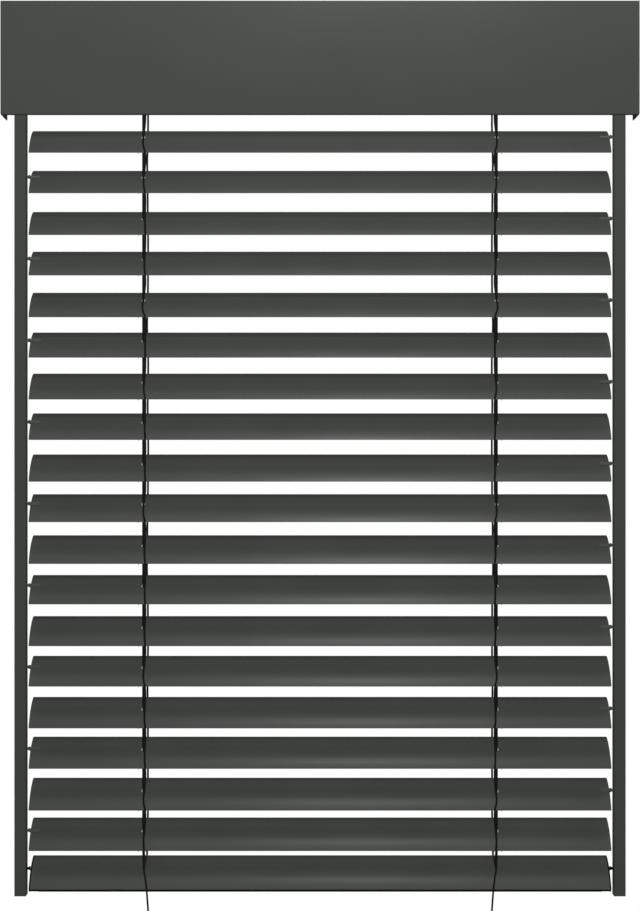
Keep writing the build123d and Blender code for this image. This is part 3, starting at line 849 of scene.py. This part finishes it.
def bottomShell():
    shape = bmesh.new()
    half = slatShape["width"] / 2
    halfArc = math.asin(half / outerRadius)
    startX = -slatShape["length"] / 2 + bottomShape["capSheet"]
    start = shape.verts.new((startX, -half, outerRadius * (math.cos(halfArc) - 1)))
    bmesh.ops.spin(shape, geom=[start], cent=(0, 0, -outerRadius), axis=(-1, 0, 0), angle=2 * halfArc,
                   steps=bottomShape["steps"], use_merge=False)
    arc = sorted(shape.verts, key=lambda vert: vert.co.y)
    slatFall = slatShape["radius"] * (1 - math.cos(math.radians(slatShape["halfArcDegrees"])))
    foot = -(slatFall + bottomShape["lip"])
    corners = [shape.verts.new((end.co.x, end.co.y, foot)) for end in (arc[-1], arc[0])]
    face = shape.faces.new([*arc, *corners])
    grown = bmesh.ops.extrude_face_region(shape, geom=[face])["geom"]
    bmesh.ops.translate(shape, vec=(slatShape["length"] - 2 * bottomShape["capSheet"], 0, 0),
                        verts=grownVerts(grown))
    bmesh.ops.recalc_face_normals(shape, faces=shape.faces)
    return shape


bottomSlots = [slotCutter(side, bottomShape["slotWidth"], bottomShape["slotLength"]) for side in (-1, 1)]
shellMesh = cutMesh(bottomShell(), [("DIFFERENCE", slot) for slot in bottomSlots])
shellMesh.transform(onPin(bottomPin))
shellPiece = pieceFromMesh("bottomShell", shellMesh, slatLacquer, slatShape["sharpDegrees"])
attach(shellPiece, "bottom_rail")
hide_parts("bottom_rail")


# Plugs that close the rail's slots round the cords, flush with its top
def slotPlug(side):
    gap = 2 * bottomShape["plugGap"]
    shape = slotPrism(side, bottomShape["slotWidth"] - gap, bottomShape["slotLength"] - gap)
    return cutMesh(shape, [("INTERSECT", helperObject("plugTop", bottomShell()))])


plugMesh = joinMeshes("slotPlugs", [slotPlug(side) for side in (-1, 1)])
plugMesh.transform(onPin(bottomPin))
plugPiece = pieceFromMesh("slotPlugs", plugMesh, slatLacquer, slatShape["sharpDegrees"])
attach(plugPiece, "bottom_rail")


# Rear strings' ends: over the rail's rear edge and along its top to the plug
def railTop(x, y):
    return (x, y, math.sqrt(outerRadius ** 2 - y ** 2) - outerRadius + bottomShape["endRadius"])


endRoute = [railTop(*place) for place in bottomShape["endRoute"]]
endMesh = tubePair("rearStringEnds", endRoute, bottomShape["endRadius"], bottomShape["endRows"])
endMesh.transform(onPin(bottomPin))
endPiece = pieceFromMesh("rearStringEnds", endMesh, stringBraid)
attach(endPiece, "bottom_rail")
print("bottom rail made")


# Fascia: folded sheet with rounded bends
fasciaShape = {"front": -0.061, "height": 0.198, "sheet": 0.002, "bend": 0.0025, "bendSegments": 6,
               "flange": 0.025, "hem": 0.008, "end": 0.553}


def fasciaSheet():
    shape = bmesh.new()
    front = fasciaShape["front"]
    low = -fasciaShape["height"]
    corners = [(front + fasciaShape["flange"], 0.0), (front, 0.0), (front, low),
               (front + fasciaShape["hem"], low)]
    line = [shape.verts.new((-fasciaShape["end"], y, z)) for y, z in corners]
    for first, second in zip(line, line[1:]):
        shape.edges.new((first, second))
    roundOff(shape, line[1:3], fasciaShape["bend"], fasciaShape["bendSegments"], "VERTICES")
    grown = bmesh.ops.extrude_edge_only(shape, edges=shape.edges[:])["geom"]
    bmesh.ops.translate(shape, vec=(2 * fasciaShape["end"], 0, 0), verts=grownVerts(grown))
    bmesh.ops.recalc_face_normals(shape, faces=shape.faces)
    face = min(shape.faces, key=lambda side: side.calc_center_median().y)
    if face.normal.y > 0:
        bmesh.ops.reverse_faces(shape, faces=shape.faces)
    bmesh.ops.solidify(shape, geom=shape.faces[:], thickness=fasciaShape["sheet"])
    bmesh.ops.recalc_face_normals(shape, faces=shape.faces)
    return shape


fasciaPiece = newPiece("foldedFascia", fasciaSheet(), fasciaLacquer)
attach(fasciaPiece, "root")
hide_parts("fascia_panel")
print("fascia folded")


# Studio: white all round for the camera, a small lamp high in front, wide fills before and behind.
# The lamps cast no shadows, so the fascia leaves the slats under it as bright as the others.
studio = {"floorZ": -1.9, "floorSize": 40.0, "floorTone": 0.5, "floorRoughness": 0.9, "ambient": 0.03,
          "lamps": {
              "highFront": {"place": (0.124, -0.939, 0.756), "radius": 0.06, "power": 27.0, "glossy": True},
              "wideFront": {"place": (-0.25, -6.0, 1.63), "radius": 0.4, "power": 1020.0, "glossy": False},
              "lowBehind": {"place": (0.4, 4.0, -3.0), "radius": 0.4, "power": 500.0, "glossy": True}}}


def whiteForCamera(tree, lit, white, output):
    rays = tree.nodes.new("ShaderNodeLightPath").outputs
    mirrored = mathNode(tree, "MAXIMUM", rays["Is Glossy Ray"], rays["Is Transmission Ray"])
    seen = mathNode(tree, "MAXIMUM", rays["Is Camera Ray"], mirrored)
    mix = tree.nodes.new("ShaderNodeMixShader")
    white.inputs["Color"].default_value = (1, 1, 1, 1)
    tree.links.new(seen, mix.inputs[0])
    tree.links.new(lit.outputs[0], mix.inputs[1])
    tree.links.new(white.outputs[0], mix.inputs[2])
    tree.links.new(mix.outputs[0], output.inputs["Surface"])


world = bpy.data.worlds.new("studioWhite")
world.use_nodes = True
bpy.context.scene.world = world
ambient = world.node_tree.nodes["Background"]
ambient.inputs["Color"].default_value = (1, 1, 1, 1)
ambient.inputs["Strength"].default_value = studio["ambient"]
whiteForCamera(world.node_tree, ambient, world.node_tree.nodes.new("ShaderNodeBackground"),
               world.node_tree.nodes["World Output"])

floorMaterial, floorTree, floorShader = startFinish("paleFloor")
floorShader.inputs["Base Color"].default_value = (*[studio["floorTone"]] * 3, 1)
floorShader.inputs["Roughness"].default_value = studio["floorRoughness"]
whiteForCamera(floorTree, floorShader, floorTree.nodes.new("ShaderNodeEmission"),
               floorTree.nodes["Material Output"])
floorShape = bmesh.new()
bmesh.ops.create_grid(floorShape, x_segments=1, y_segments=1, size=studio["floorSize"] / 2,
                      matrix=Matrix.Translation((0, 0, studio["floorZ"])))
newPiece("studioFloor", floorShape, floorMaterial)

for name, lamp in studio["lamps"].items():
    light = bpy.data.lights.new(name, "POINT")
    light.shadow_soft_size = lamp["radius"]
    light.energy = lamp["power"]
    light.use_shadow = False
    lampObject = bpy.data.objects.new(name, light)
    lampObject.location = lamp["place"]
    lampObject.visible_camera = False
    lampObject.visible_glossy = lamp["glossy"]
    bpy.context.collection.objects.link(lampObject)
print("studio lit")
